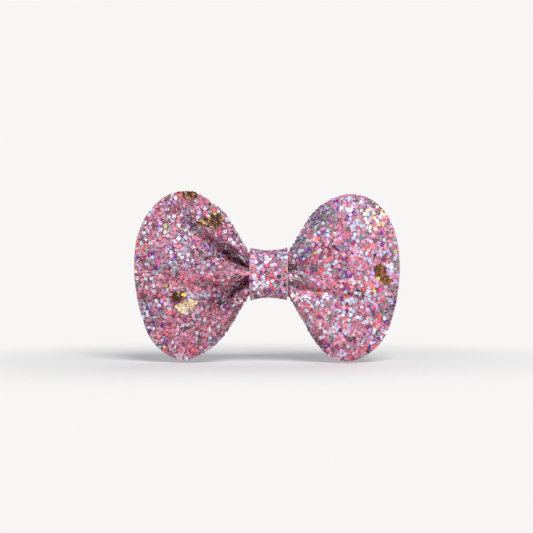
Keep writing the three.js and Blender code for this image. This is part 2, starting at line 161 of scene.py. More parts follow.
# The folds of each wing from its top edge to its bottom one: height at the band (mm), rise per mm
# outwards, how far it stands forward at the band (mm), and the distance over which that fades (mm).
LEFT_FOLDS = [
    ("top edge", None, None, -0.6, 30),
    ("upper ridge", 4.6, 0.92, 3.2, 32),
    ("upper valley", 2.2, 0.66, -3.3, 22),
    ("middle ridge", 0.3, 0.02, 3.2, 28),
    ("lower valley", -2.6, -0.80, -3.3, 30),
    ("lower ridge", -4.8, -1.20, 2.4, 34),
    ("bottom edge", None, None, -0.6, 26),
]
RIGHT_FOLDS = [
    ("top edge", None, None, -2.8, 70),
    ("upper ridge", 4.0, 0.80, 2.2, 36),
    ("upper valley", 1.7, -0.20, -2.4, 9),
    ("middle ridge", -0.9, -0.20, 1.2, 26),
    ("lower valley", -3.2, -0.22, -0.7, 44),
    ("lower ridge", -5.3, -1.30, 1.6, 34),
    ("bottom edge", None, None, -2.4, 30),
]
PUFF = 0.8  # how much deeper the folds get just outside the band, where the canvas springs out
PUFF_REACH = 5.5  # mm from the band's edge to where they are deepest

# Colours of film that flakes are punched from (0 to 255). The greys and the white, and the lighter and darker
# roses, are partly the film's own colours and partly painted reflection and shade: flakes that catch the light
# and flakes turned from it.
FLAKE_COLOURS = {
    "dusty_rose": (206, 122, 148), "light_rose": (224, 147, 170), "mauve_rose": (184, 112, 138),
    "pale_pink": (238, 180, 198), "silver_blue": (195, 203, 230), "pale_ice": (216, 223, 242),
    "pewter": (150, 143, 149), "olive_grey": (104, 97, 92), "ink": (46, 40, 42), "lilac": (203, 168, 237),
    "violet": (112, 36, 158), "plum": (144, 38, 98), "coral": (252, 104, 98), "hot_pink": (252, 80, 152),
    "white": (247, 247, 252), "champagne": (240, 226, 200), "lime": (208, 222, 118), "teal": (78, 142, 172),
    "garnet": (148, 58, 86), "dark_bronze": (78, 42, 20), "bronze": (134, 80, 38),
    "old_gold": (176, 128, 70), "tan_gold": (218, 186, 138), "cream_gold": (252, 238, 202),
    "yellow_gold": (250, 232, 60),
}
# Mixes of those colours, by weight: the discs that lie on the coat, the slivers that stand in it,
# and what the clusters and the patches of painted shade are made of.
FLAKE_MIX = {
    "dusty_rose": 15, "light_rose": 13, "mauve_rose": 9, "pale_pink": 7, "silver_blue": 11, "pale_ice": 8,
    "pewter": 10, "olive_grey": 5, "ink": 1.8, "lilac": 5, "violet": 3.4, "plum": 2.4, "coral": 3.2,
    "hot_pink": 1.8, "white": 2.8, "champagne": 0.8, "lime": 1.0, "teal": 0.5,
}
SLIVER_MIX = {
    "dusty_rose": 24, "mauve_rose": 15, "pale_pink": 17, "silver_blue": 13, "pewter": 13, "olive_grey": 7,
    "garnet": 9, "white": 5,
}
BRONZE_MIX = {"dark_bronze": 66, "bronze": 16, "old_gold": 6, "tan_gold": 12}
GOLD_MIX = {"dark_bronze": 34, "bronze": 30, "old_gold": 18, "tan_gold": 18}
CREAM_MIX = {"cream_gold": 64, "tan_gold": 22, "champagne": 14}
YELLOW_MIX = {"yellow_gold": 1}
ICE_MIX = {"white": 16, "pale_ice": 42, "lilac": 32, "champagne": 10}
PEARL_MIX = {"white": 30, "champagne": 55, "tan_gold": 15}
# Grey flakes laid where the canvas turns from the light: painted shade.
GREY_SHADE_MIX = {"pewter": 40, "olive_grey": 22, "silver_blue": 16, "mauve_rose": 12, "violet": 10}
HEATHER_MIX = {
    "silver_blue": 30, "pewter": 26, "lilac": 14, "mauve_rose": 14, "violet": 10, "olive_grey": 6,
}
ROSE_MIX = {"dusty_rose": 38, "light_rose": 26, "pale_pink": 12, "coral": 12, "garnet": 12}
# Dark flakes laid along the folds' valleys: painted shade.
FOLD_SHADE_MIX = {"garnet": 58, "violet": 18, "mauve_rose": 14, "ink": 10}
# How strongly flakes of one colour gather in patches, and how many patches there are in a metre.
PATCH_STRENGTH = 3.0
PATCHES = 190
COMBED_PATCHES = 110  # patches in a metre where the standing flakes lean one way
COMB_SPREAD = 0.35  # how far single ones turn from that, in radians
SLIVER_TILT = (66, 10)  # usual angle between a standing flake and the canvas, and its spread, in degrees
SLIVER_LIFT = 0.08 * MM  # from the canvas to a standing flake's middle
DISC_LIFT = (0.12, 0.3)  # least and most for a lying flake, in mm
DISC_SIZES = (0.88, 1.05)  # least and most, as a share of the usual width
CLUSTER_SIZES = (0.8, 0.95)
CLUSTER_SPACING = 0.95 * MM
SCATTER_V = (0.012, 0.988)  # flakes keep this far from the canvas's cut edges
FLAKE_BATCH = 250  # flakes that are made together, which is faster than all at once
# Clusters of one kind of flake, tinted patches, and patches of grey and dark flakes that paint the shade in
# the folds and on flanks turned from the light: centre and half sizes (mm), the share of the flakes there that
# take the mix, and the mix.
CLUSTERS = [
    ((-25.5, 25.6), (2.3, 1.9), 1.0, BRONZE_MIX),
    ((-17.2, 17.2), (2.5, 2.6), 1.0, BRONZE_MIX),
    ((-20.4, 16.7), (1.9, 0.9), 1.0, GOLD_MIX),
    ((-27.6, -6.6), (0.7, 0.7), 1.0, YELLOW_MIX),
    ((-29.4, -7.4), (1.6, 1.8), 1.0, BRONZE_MIX),
    ((-28.3, -10.8), (2.3, 1.6), 1.0, CREAM_MIX),
    ((-25.2, -9.4), (1.9, 1.8), 1.0, CREAM_MIX),
    ((-25.6, -6.4), (1.9, 1.0), 0.9, ICE_MIX),
    ((39.4, 1.6), (1.5, 2.0), 0.9, ICE_MIX),
    ((36.0, 0.9), (2.0, 2.5), 1.0, GOLD_MIX),
    ((37.6, -1.8), (2.1, 1.5), 1.0, GOLD_MIX),
    ((34.8, 18.4), (3.6, 4.6), 0.35, PEARL_MIX),
    ((28.5, 20.0), (6.0, 4.0), 0.3, ICE_MIX),
    ((27.5, 19.5), (8.0, 5.5), 0.35, HEATHER_MIX),
    ((0.0, 4.8), (6.2, 3.6), 0.4, HEATHER_MIX),
    # Grey patches on the right wing's flanks: painted shade.
    ((10.8, 8.6), (3.4, 4.2), 0.85, GREY_SHADE_MIX),
    ((17.4, 17.4), (4.6, 5.6), 0.85, GREY_SHADE_MIX),
    ((39.0, -12.0), (2.4, 5.2), 0.6, GREY_SHADE_MIX),
    ((24.0, -5.0), (14.0, 2.6), 0.45, ROSE_MIX),
    ((24.0, 8.0), (12.0, 4.0), 0.3, ROSE_MIX),
    # Dark patches in the left wing's valleys and by the band: painted shade.
    ((-15.0, -9.0), (5.0, 3.0), 0.35, FOLD_SHADE_MIX),
    ((-13.5, 6.6), (5.6, 2.8), 0.35, FOLD_SHADE_MIX),
    ((-7.8, -2.6), (2.2, 1.6), 0.6, FOLD_SHADE_MIX),
    ((-27.0, 5.6), (12.0, 5.4), 0.4, HEATHER_MIX),
    ((-23.0, -2.6), (14.0, 2.6), 0.5, ROSE_MIX),
    ((-28.0, -19.0), (9.0, 6.0), 0.3, ROSE_MIX),
]


# ---------------------------------------------------------------- user settings
def linear(rgb):
    """A colour of 0 to 255 as Blender's linear one."""
    return [(c / 255) ** 2.2 for c in rgb]


def colour_property(name, description, rgb):
    return FloatVectorProperty(
        name=name, description=description, subtype="COLOR", size=3, min=0, max=1, default=linear(rgb))


def length_property(name, description, millimetres):
    return FloatProperty(
        name=name, description=description, subtype="DISTANCE", unit="LENGTH", min=0,
        default=millimetres * MM, precision=5,
    )


class GlitterSettings(bpy.types.PropertyGroup):
    """Sizes of the loose flakes and colours of the coat under them."""

    width: length_property("Flake width", "Usual width of a hexagonal flake across its corners", 1.46)
    thickness: length_property("Flake thickness", "Thickness of the film that the flakes are cut from", 0.07)
    spacing: length_property("Sliver spacing", "Least distance between two flakes that stand in the coat", 0.56)
    tilt: FloatProperty(
        name="Tilt", description="Usual angle between a flake and the canvas", subtype="ANGLE",
        default=math.radians(7))
    seed: IntProperty(name="Seed", description="Picks another scatter of the flakes", default=11, min=0)
    coat_light: colour_property("Light dust", "Lightest grains of the fine glitter coat", (236, 196, 212))
    coat_mid: colour_property("Rose dust", "Most common grains of the fine glitter coat", (192, 106, 136))
    # Also the colour of the painted shade at the grains' edges.
    coat_dark: colour_property("Shaded dust", "Darkest grains of the fine glitter coat", (92, 50, 66))


class ClothSettings(bpy.types.PropertyGroup):
    """Thickness of the canvas and colours of the woven pieces."""

    canvas: length_property("Canvas", "Thickness of canvas and glitter coat together", 1.0)
    backing: colour_property("Backing", "Woven back of the canvas", (236, 214, 220))
    cut_edge: colour_property("Cut edge", "Fibres that show where the canvas is cut", (240, 220, 226))
    ribbon: colour_property("Ribbon", "Grosgrain that lines the clip", (238, 196, 210))
    rib_pitch: length_property("Rib pitch", "Distance between two ribs of the grosgrain", 0.62)
    thread: colour_property("Thread", "Thread that gathers the middle", (232, 214, 220))


class ClipSettings(bpy.types.PropertyGroup):
    """Finish of the clip and of the glue that holds it."""

    steel: colour_property("Plated steel", "Nickel plating of the jaws and the pin", (196, 196, 200))
    wire: colour_property("Spring wire", "Drawn wire of the spring", (170, 172, 178))
    glue: colour_property("Hot glue", "Set hot glue", (238, 232, 216))
    wire_width: length_property("Wire width", "Diameter of the spring's wire", 0.7)


# ---------------------------------------------------------------- shader helpers
class Graph:
    """Adds nodes to one node tree and links them."""

    def __init__(self, tree):
        self.tree = tree

    def add(self, kind, inputs=None, **settings):
        made = self.tree.nodes.new(kind)
        for key, value in settings.items():
            setattr(made, key, value)
        for key, value in (inputs or {}).items():
            if isinstance(value, bpy.types.NodeSocket):
                self.tree.links.new(value, made.inputs[key])
            else:
                made.inputs[key].default_value = value
        return made

    def group(self, tree, inputs):
        return self.add("ShaderNodeGroup", inputs, node_tree=tree).outputs

    def math(self, operation, first, second=0.0, clamp=False):
        made = self.add("ShaderNodeMath", {0: first, 1: second}, operation=operation, use_clamp=clamp)
        return made.outputs[0]

    def times(self, first, second, clamp=False):
        return self.math("MULTIPLY", first, second, clamp)

    def noise(self, place, scale, detail):
        made = self.add("ShaderNodeTexNoise", {"Vector": place, "Scale": scale, "Detail": detail})
        return made.outputs["Fac"]

    def scaled(self, value, share, plus):
        return self.math("ADD", self.times(value, share), plus)

    def mix(self, factor, first, second):
        made = self.add("ShaderNodeMix", {"Factor": factor}, data_type="RGBA")
        for key, value in (("A", first), ("B", second)):
            socket = next(s for s in made.inputs if s.name == key and s.type == "RGBA")
            if isinstance(value, bpy.types.NodeSocket):
                self.tree.links.new(value, socket)
            else:
                socket.default_value = (*value, 1)
        return next(s for s in made.outputs if s.type == "RGBA")


def node_group(name, inputs, outputs, build):
    """A shader node group, built once. inputs and outputs map socket names to kinds and defaults."""
    if name in bpy.data.node_groups:
        return bpy.data.node_groups[name]
    tree = bpy.data.node_groups.new(name, "ShaderNodeTree")
    for key, (kind, default) in inputs.items():
        socket = tree.interface.new_socket(key, in_out="INPUT", socket_type=kind)
        if default is not None:
            socket.default_value = default
    for key, kind in outputs.items():
        tree.interface.new_socket(key, in_out="OUTPUT", socket_type=kind)
    graph = Graph(tree)
    entry = graph.add("NodeGroupInput")
    results = build(graph, entry.outputs)
    graph.add("NodeGroupOutput", results)
    return tree


COLOUR, NUMBER, VECTOR = "NodeSocketColor", "NodeSocketFloat", "NodeSocketVector"


def fine_glitter_group():
    """Grains of fine glitter: a colour for each grain, a random gloss and relief, and painted shade that
    darkens each grain towards its lower edge.
    """

    def build(graph, given):
        grains = graph.add(
            "ShaderNodeTexVoronoi", {"Vector": given["Vector"], "Scale": given["Grains per metre"]})
        chance = graph.add("ShaderNodeSeparateColor", {"Color": grains.outputs["Color"]})
        pick = chance.outputs["Red"]
        colour = graph.mix(graph.math("GREATER_THAN", pick, 0.2), given["Dark"], given["Rose"])
        colour = graph.mix(graph.math("GREATER_THAN", pick, 0.6), colour, given["Light"])
        colour = graph.mix(graph.math("GREATER_THAN", pick, 0.93), colour, (1.0, 0.98, 1.0))
        # Each grain darkens towards its edge, where its relief falls away: painted shade.
        grain_edge_shade = graph.times(grains.outputs["Distance"], 0.6, clamp=True)
        colour = graph.mix(grain_edge_shade, colour, given["Dark"])
        rough = graph.scaled(chance.outputs["Green"], 0.4, 0.2)
        height = graph.math("SUBTRACT", chance.outputs["Blue"], grains.outputs["Distance"])
        return {"Color": colour, "Roughness": rough, "Height": height}

    return node_group(
        "Fine glitter",
        {"Vector": (VECTOR, None), "Grains per metre": (NUMBER, 3000.0), "Light": (COLOUR, None),
         "Rose": (COLOUR, None), "Dark": (COLOUR, None)},
        {"Color": COLOUR, "Roughness": NUMBER, "Height": NUMBER}, build)


def plain_weave_group():
    """Threads that pass over and under each other along X and Z: their relief, and the pits between."""

    def build(graph, given):
        axes = graph.add("ShaderNodeSeparateXYZ", {"Vector": given["Vector"]})
        across = graph.times(axes.outputs["X"], given["Threads per metre"])
        along = graph.times(axes.outputs["Z"], given["Threads per metre"])
        turn = graph.math("ADD", graph.math("FLOOR", across), graph.math("FLOOR", along))
        over = graph.math("PINGPONG", turn, 1.0)
        warp = graph.math("SINE", graph.times(graph.math("FRACT", across), math.pi))
        weft = graph.math("SINE", graph.times(graph.math("FRACT", along), math.pi))
        pit = graph.times(warp, weft)
        under = graph.math("SUBTRACT", 1.0, over)
        top = graph.math("ADD", graph.times(warp, over), graph.times(weft, under))
        height = graph.math("ADD", graph.times(top, 0.6), graph.times(pit, 0.4))
        return {"Height": height, "Pit": graph.math("SUBTRACT", 1.0, pit, clamp=True)}

    return node_group(
        "Plain weave", {"Vector": (VECTOR, None), "Threads per metre": (NUMBER, 2200.0)},
        {"Height": NUMBER, "Pit": NUMBER}, build)


def fibre_group():
    """Short fibres: light and dark streaks with wider clumps among them."""

    def build(graph, given):
        streaks = graph.add(
            "ShaderNodeTexNoise",
            {"Vector": given["Vector"], "Scale": given["Scale"], "Detail": 6.0, "Roughness": 0.7})
        clumps = graph.noise(given["Vector"], 400.0, 2.0)
        mask = graph.times(streaks.outputs["Fac"], clumps)
        return {"Mask": graph.times(mask, 2.6, clamp=True), "Height": streaks.outputs["Fac"]}

    return node_group(
        "Fibres", {"Vector": (VECTOR, None), "Scale": (NUMBER, 5000.0)},
        {"Mask": NUMBER, "Height": NUMBER}, build)


def metal_wear_group():
    """Rolling marks, fine scratches and finger smudges on bright metal."""

    def build(graph, given):
        drawn = graph.add("ShaderNodeMapping", {"Vector": given["Vector"], "Scale": (60.0, 900.0, 2600.0)})
        marks = graph.noise(drawn.outputs[0], 3.0, 5.0)
        smudge = graph.noise(given["Vector"], 260.0, 3.0)
        scratch = graph.add(
            "ShaderNodeTexVoronoi", {"Vector": drawn.outputs[0], "Scale": 5.0}, feature="DISTANCE_TO_EDGE")
        line = graph.math("LESS_THAN", scratch.outputs["Distance"], 0.02)
        rough = graph.scaled(marks, 0.14, 0.16)
        rough = graph.math("ADD", rough, graph.times(smudge, 0.2))
        rough = graph.math("ADD", rough, graph.times(line, 0.12))
        shade = graph.math("SUBTRACT", 1.0, graph.times(smudge, 0.16))
        shade = graph.math("SUBTRACT", shade, graph.times(line, 0.1))
        return {"Roughness": rough, "Shade": shade, "Height": marks}

    return node_group(
        "Metal wear", {"Vector": (VECTOR, None)},
        {"Roughness": NUMBER, "Shade": NUMBER, "Height": NUMBER}, build)


class Surface(Graph):
    """A material with one Principled BSDF. Plain values are set on its own sockets."""

    def __init__(self, name, **plain):
        self.material = bpy.data.materials.new(name)
        self.material.use_nodes = True
        super().__init__(self.material.node_tree)
        self.shader = next(n for n in self.tree.nodes if n.type == "BSDF_PRINCIPLED")
        for key, value in plain.items():
            self.shader.inputs[key.replace("_", " ")].default_value = value

    def place(self):
        return self.add("ShaderNodeTexCoord").outputs["Object"]

    def link(self, value, socket):
        self.tree.links.new(value, self.shader.inputs[socket])

    def bump(self, height, distance, strength=1.0):
        made = self.add("ShaderNodeBump", {"Height": height, "Distance": distance, "Strength": strength})
        self.link(made.outputs["Normal"], "Normal")


def darker(colour, share):
    return [c * share for c in colour]


def glitter_coat_material(glitter):
    """Fine glitter that covers the canvas under the loose flakes."""
    surface = Surface("glitter_coat", Metallic=0.15, Coat_Weight=0.25, Coat_Roughness=0.15)
    grains = surface.group(fine_glitter_group(), {
        "Vector": surface.place(), "Grains per metre": 3400.0, "Light": (*glitter.coat_light, 1),
        "Rose": (*glitter.coat_mid, 1), "Dark": (*glitter.coat_dark, 1)})
    surface.link(grains["Color"], "Base Color")
    surface.link(grains["Roughness"], "Roughness")
    surface.bump(grains["Height"], 0.12 * MM)
    return surface.material


def canvas_back_material(cloth):
    """Woven back of the canvas, with painted shade in the pits between its threads."""
    surface = Surface("canvas_back", Sheen_Weight=0.3, Sheen_Roughness=0.5)
    place = surface.place()
    weave = surface.group(plain_weave_group(), {"Vector": place, "Threads per metre": 2000.0})
    fibres = surface.group(fibre_group(), {"Vector": place, "Scale": 6000.0})
    pit_shade_colour = darker(cloth.backing, 0.55)
    # The pits between the threads are darkened: painted shade.
    colour = surface.mix(weave["Pit"], cloth.backing, pit_shade_colour)
    colour = surface.mix(surface.times(fibres["Mask"], 0.25), colour, (0.98, 0.94, 0.95))
    surface.link(colour, "Base Color")
    surface.link(surface.scaled(weave["Pit"], 0.12, 0.78), "Roughness")
    relief = surface.math("ADD", weave["Height"], surface.times(fibres["Height"], 0.35))
    surface.bump(relief, 0.14 * MM)
    return surface.material


def cut_edge_material(cloth):
    """Fibres of the cut canvas, with specks of the coat."""
    surface = Surface("cut_edge", Roughness=0.9)
    place = surface.place()
    fibres = surface.group(fibre_group(), {"Vector": place, "Scale": 5200.0})
    specks = surface.add("ShaderNodeTexVoronoi", {"Vector": place, "Scale": 2600.0})
    chance = surface.add("ShaderNodeSeparateColor", {"Color": specks.outputs["Color"]}).outputs["Red"]
    colour = surface.mix(fibres["Mask"], darker(cloth.cut_edge, 0.6), cloth.cut_edge)
    colour = surface.mix(
        surface.math("GREATER_THAN", chance, 0.72), colour, linear((196, 120, 146)))
    surface.link(colour, "Base Color")
    surface.bump(fibres["Height"], 0.2 * MM)
    return surface.material


def flake_material(name, rgb):
    """Film of one colour that flakes are punched from, clear-coated as glitter is. Some palette colours are
    partly painted reflection and shade.
    """
    surface = Surface(name, Metallic=0.1, Roughness=0.5, Coat_Weight=0.08, Coat_Roughness=0.25)
    surface.shader.inputs["Base Color"].default_value = (*linear(rgb), 1)
    surface.material.diffuse_color = (*linear(rgb), 1)
    return surface.material


def flake_materials():
    """One material for each flake colour, in the palette's order, and each colour's place in it."""
    for name, rgb in FLAKE_COLOURS.items():
        if f"flake_{name}" not in bpy.data.materials:
            flake_material(f"flake_{name}", rgb)
    materials = [bpy.data.materials[f"flake_{name}"] for name in FLAKE_COLOURS]
    return materials, {name: i for i, name in enumerate(FLAKE_COLOURS)}


def ribbon_material(cloth):
    """Grosgrain: packed filaments over the modelled ribs, a low sheen."""
    surface = Surface("grosgrain", Sheen_Weight=0.35, Sheen_Roughness=0.4)
    place = surface.place()
    drawn = surface.add("ShaderNodeMapping", {"Vector": place, "Scale": (1.0, 1.0, 0.12)}).outputs[0]
    filaments = surface.group(fibre_group(), {"Vector": drawn, "Scale": 9000.0})
    colour = surface.mix(filaments["Mask"], darker(cloth.ribbon, 0.62), cloth.ribbon)
    surface.link(colour, "Base Color")
    surface.link(surface.scaled(filaments["Mask"], 0.15, 0.5), "Roughness")
    surface.bump(filaments["Height"], 0.05 * MM)
    return surface.material


def thread_material(cloth):
    """Twisted polyester thread, with painted shade in the grooves between its plies."""
    surface = Surface("twisted_thread", Roughness=0.7, Sheen_Weight=0.4)
    place = surface.place()
    twist = (0.0, math.radians(40), math.radians(30))
    turned = surface.add("ShaderNodeMapping", {"Vector": place, "Rotation": twist}).outputs[0]
    plies = surface.add("ShaderNodeTexWave", {"Vector": turned, "Scale": 700.0, "Distortion": 0.6})
    # Darker in the grooves between the plies: painted shade.
    colour = surface.mix(plies.outputs["Fac"], darker(cloth.thread, 0.55), cloth.thread)
    surface.link(colour, "Base Color")
    surface.bump(plies.outputs["Fac"], 0.08 * MM)
    return surface.material


def glue_material(clip):
    """Cloudy set hot glue."""
    surface = Surface("set_hot_glue", Subsurface_Weight=0.4, Subsurface_Scale=0.002, Coat_Weight=0.3)
    clouds = surface.noise(surface.place(), 900.0, 4.0)
    surface.link(surface.mix(clouds, darker(clip.glue, 0.75), clip.glue), "Base Color")
    surface.link(surface.scaled(clouds, 0.25, 0.18), "Roughness")
    surface.bump(clouds, 0.1 * MM, 0.6)
    return surface.material


def metal_material(name, rgb, relief):
    """Bright metal with rolling marks, scratches and smudges."""
    surface = Surface(name, Metallic=1.0)
    wear = surface.group(metal_wear_group(), {"Vector": surface.place()})
    shade = surface.mix(wear["Shade"], darker(rgb, 0.3), rgb)
    surface.link(shade, "Base Color")
    surface.link(wear["Roughness"], "Roughness")
    surface.bump(wear["Height"], relief, 0.4)
    return surface.material


# ---------------------------------------------------------------- mesh helpers
def new_piece(name, mesh_builder, materials, smooth_angle=None):
    """An object at the origin with a mesh from a bmesh."""
    mesh = bpy.data.meshes.new(name)
    mesh_builder.to_mesh(mesh)
    mesh_builder.free()
    for material in materials:
        mesh.materials.append(material)
    piece = bpy.data.objects.new(name, mesh)
    bpy.context.scene.collection.objects.link(piece)
    if smooth_angle is not None:
        mesh.shade_smooth()
        mesh.set_sharp_from_angle(angle=smooth_angle)
    return piece


def finish_piece(piece, body, replaces=()):
    """Sets the body that a piece rides on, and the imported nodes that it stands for."""
    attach(piece, body)
    if replaces:
        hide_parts(*replaces)


def slab(across, along, front, back):
    """A closed sheet between two surfaces, as a bmesh.

    front and back take arrays of u and v from 0 to 1 and return points in metres. Front faces get
    material 0, back faces 1 and the rim 2.
    """
    sheet = bmesh.new()
    made = bmesh.ops.create_grid(sheet, x_segments=across, y_segments=along, size=0.5)
    u = np.array([v.co.x + 0.5 for v in made["verts"]])
    v = np.array([v.co.y + 0.5 for v in made["verts"]])
    copied = bmesh.ops.duplicate(sheet, geom=sheet.verts[:] + sheet.edges[:] + sheet.faces[:])
    back_faces = [item for item in copied["geom"] if isinstance(item, bmesh.types.BMFace)]
    twin = copied["vert_map"]
    for vertex, place, other in zip(made["verts"], front(u, v), back(u, v)):
        twin[vertex].co = other
        vertex.co = place
    bmesh.ops.reverse_faces(sheet, faces=back_faces)
    rim = [edge for edge in sheet.edges if edge.is_boundary]
    bridged = bmesh.ops.bridge_loops(sheet, edges=rim)
    for face in back_faces:
        face.material_index = 1
    for face in bridged["faces"]:
        face.material_index = 2
    bmesh.ops.recalc_face_normals(sheet, faces=sheet.faces)
    return sheet


# ---------------------------------------------------------------- shape of the bow
def bow_middle():
    """Depth of the bow's neutral plane, from the band's front."""
    coat = bpy.context.scene.bow_cloth.canvas
    return BAND_BOX[0].y + BAND_INNER[0] + coat + BAND_FLARE[0]


def fan_half(x):
    """Half height of the fan of pleats at distance x from the middle."""
    beyond = np.abs(x) - PINCH_REACH
    return PINCH_HALF + FAN_SLOPE * 0.5 * (beyond + np.hypot(beyond, FAN_EASE))


def smooth_outline(points, samples=600):
    """Points evenly spaced along a smooth curve through the given ones."""
    places = np.array(points, float)
    chord = np.r_[0, np.cumsum(np.linalg.norm(np.diff(places, axis=0), axis=1))]
    slopes = np.gradient(places, chord, axis=0)
    t = np.linspace(0, chord[-1], 8 * samples)
    i = np.clip(np.searchsorted(chord, t, side="right") - 1, 0, len(chord) - 2)
    h = (chord[i + 1] - chord[i])[:, None]
    s = ((t - chord[i])[:, None]) / h
    curve = (
        (1 + 2 * s) * (1 - s) ** 2 * places[i] + s * (1 - s) ** 2 * h * slopes[i]
        + s * s * (3 - 2 * s) * places[i + 1] + s * s * (s - 1) * h * slopes[i + 1]
    )
    run = np.r_[0, np.cumsum(np.linalg.norm(np.diff(curve, axis=0), axis=1))]
    even = np.linspace(0, run[-1], samples)
    return np.stack([np.interp(even, run, curve[:, k]) for k in (0, 1)], axis=1)


def wing_outline(side):
    start = WING_START * MM
    corner = float(fan_half(np.array(start))) / MM
    inner = LEFT_OUTLINE if side < 0 else RIGHT_OUTLINE
    return smooth_outline([(side * WING_START, corner), *inner, (side * WING_START, -corner)]) * MM


OUTLINES = {side: wing_outline(side) for side in (-1, 1)}


def fold_lines(folds, reach):
    """Heights and forward offsets of one wing's folds at distance reach from the middle."""
    beyond = np.maximum(0, reach - BAND_HALF)
    squeeze = fan_half(np.minimum(reach, BAND_HALF)) / fan_half(np.array(BAND_HALF))
    spring = beyond / (PUFF_REACH * MM)
    puff = 1 + PUFF * spring * np.exp(1 - spring)
    heights, offsets = [], []
    for _, height, rise, forward, fade in folds:
        if height is None:
            edge = fan_half(reach)
            heights.append(edge if not heights else -edge)
        else:
            heights.append((height * MM + rise * beyond) * squeeze)
        offsets.append(forward * MM * puff * np.exp(-beyond / (fade * MM)))
    return heights, offsets


def fold_relief(x, z):
    """How far the folds bring the canvas forward at a place in the front view."""
    relief = []
    for folds in (LEFT_FOLDS, RIGHT_FOLDS):
        heights, offsets = fold_lines(folds, np.abs(x))
        total = np.where(z >= heights[0], offsets[0], offsets[-1])
        for k in range(len(folds) - 1):
            inside = (z < heights[k]) & (z >= heights[k + 1])
            share = np.clip((heights[k] - z) / np.maximum(heights[k] - heights[k + 1], 1e-9), 0, 1)
            swing = 0.5 - 0.5 * np.cos(math.pi * share)
            total = np.where(inside, offsets[k] + (offsets[k + 1] - offsets[k]) * swing, total)
        relief.append(total)
    blend = np.clip(x / (2 * BAND_HALF) + 0.5, 0, 1)
    return relief[0] * (1 - blend) + relief[1] * blend


def panel_depth(x, z):
    """Depth of the canvas's middle surface in the frame."""
    arch = ARCH * (z / WING_RISE) ** 2
    lean = RIM_LEAN * (x / WING_REACH) ** 2
    return bow_middle() - fold_relief(x, z) + arch + lean


def panel_plan(u, v):
    """Front-view place of a panel point: u from the left rim to the right, v from top to bottom."""
    reach = np.abs(2 * u - 1)
    even = np.linspace(0, 1, len(OUTLINES[1]))
    left = [np.interp(v, even, OUTLINES[-1][:, k]) for k in (0, 1)]
    right = [np.interp(v, even, OUTLINES[1][:, k]) for k in (0, 1)]
    rim_x = np.where(u < 0.5, left[0], right[0])
    rim_z = np.where(u < 0.5, left[1], right[1])
    ray = 1 - 2 * v
    share = ray + (rim_z / fan_half(rim_x) - ray) * reach ** 2
    x = rim_x * reach
    return x, share * fan_half(x), reach


def panel_surface(side):
    """side is 1 for the glitter face and -1 for the woven back."""
    coat = bpy.context.scene.bow_cloth.canvas

    def surface(u, v):
        x, z, reach = panel_plan(u, v)
        d = 0.05 * MM
        slope_x = (panel_depth(x + d, z) - panel_depth(x - d, z)) / (2 * d)
        slope_z = (panel_depth(x, z + d) - panel_depth(x, z - d)) / (2 * d)
        thick = np.minimum(STEEP_CANVAS, coat * np.sqrt(1 + slope_x ** 2 + slope_z ** 2))
        roll = RIM_ROLL * np.clip((reach - ROLL_START) / ROLL_SPAN, 0, 1) ** 2
        return np.stack([x, panel_depth(x, z) + roll - side * thick / 2, z], axis=1)

    return surface


def loop_points(degrees, depth, height, x):
    """Points on a superellipse round the X axis; 0 degrees is straight back and 90 is up."""
    angle = np.radians(degrees)
    c, s = np.cos(angle), np.sin(angle)
    y = np.sign(c) * depth * np.abs(c) ** (2 / BAND_ROUND)
    z = np.sign(s) * height * np.abs(s) ** (2 / BAND_ROUND)
    return np.stack([x + 0 * y, y + bow_middle(), z], axis=1)


def band_surface(lift):
    """The band's surface at height lift above the loop's inside: u runs round it and v across it."""

    def surface(u, v):
        turn = -LAP_ANGLE + u * (360 + 2 * LAP_ANGLE)
        x = (2 * v - 1) * (BAND_HALF - CUT_SLANT * lift)
        flare = (2 * v - 1) ** 2
        ramp = np.clip((turn - LAP_START) / LAP_SPAN, 0, 1)
        lap = LAP_LIFT * ramp * ramp * (3 - 2 * ramp)
        depth = BAND_INNER[0] + BAND_FLARE[0] * flare + lift + lap
        height = BAND_INNER[1] + BAND_FLARE[1] * flare + lift + lap
        return loop_points(turn, depth, height, x)

    return surface


# ---------------------------------------------------------------- loose flakes
def frames_on(surface, u, v):
    """Points, outward normals, tangents and area per unit of u and v on a surface."""
    d = 1e-4
    along_u = (surface(u + d, v) - surface(u - d, v)) / (2 * d)
    along_v = (surface(u, v + d) - surface(u, v - d)) / (2 * d)
    cross = np.cross(along_u, along_v)
    area = np.linalg.norm(cross, axis=1)
    return surface(u, v), cross / area[:, None], along_u / np.linalg.norm(along_u, axis=1)[:, None], area


def spread_evenly(rng, surface, outward, u_range, spacing, tries):
    """Random places on a surface, evenly by area, no two closer than spacing."""
    u = rng.uniform(*u_range, tries)
    v = rng.uniform(*SCATTER_V, tries)
    points, normals, tangents, area = frames_on(surface, u, v)
    keep = rng.uniform(0, np.quantile(area, 0.999), tries) < area
    points, normals, tangents = points[keep], outward * normals[keep], tangents[keep]
    taken, chosen = {}, []
    for i, cell in enumerate(map(tuple, np.floor(points / spacing).astype(int))):
        near = (
            taken.get((cell[0] + a, cell[1] + b, cell[2] + c))
            for a in (-1, 0, 1) for b in (-1, 0, 1) for c in (-1, 0, 1)
        )
        if all(j is None or np.linalg.norm(points[i] - points[j]) >= spacing for j in near):
            taken[cell] = i
            chosen.append(i)
    return points[chosen], normals[chosen], tangents[chosen]


def inside(x, z, centre, half):
    """Whether places in the front view lie in a cluster's ellipse."""
    return ((x / MM - centre[0]) / half[0]) ** 2 + ((z / MM - centre[1]) / half[1]) ** 2 < 1


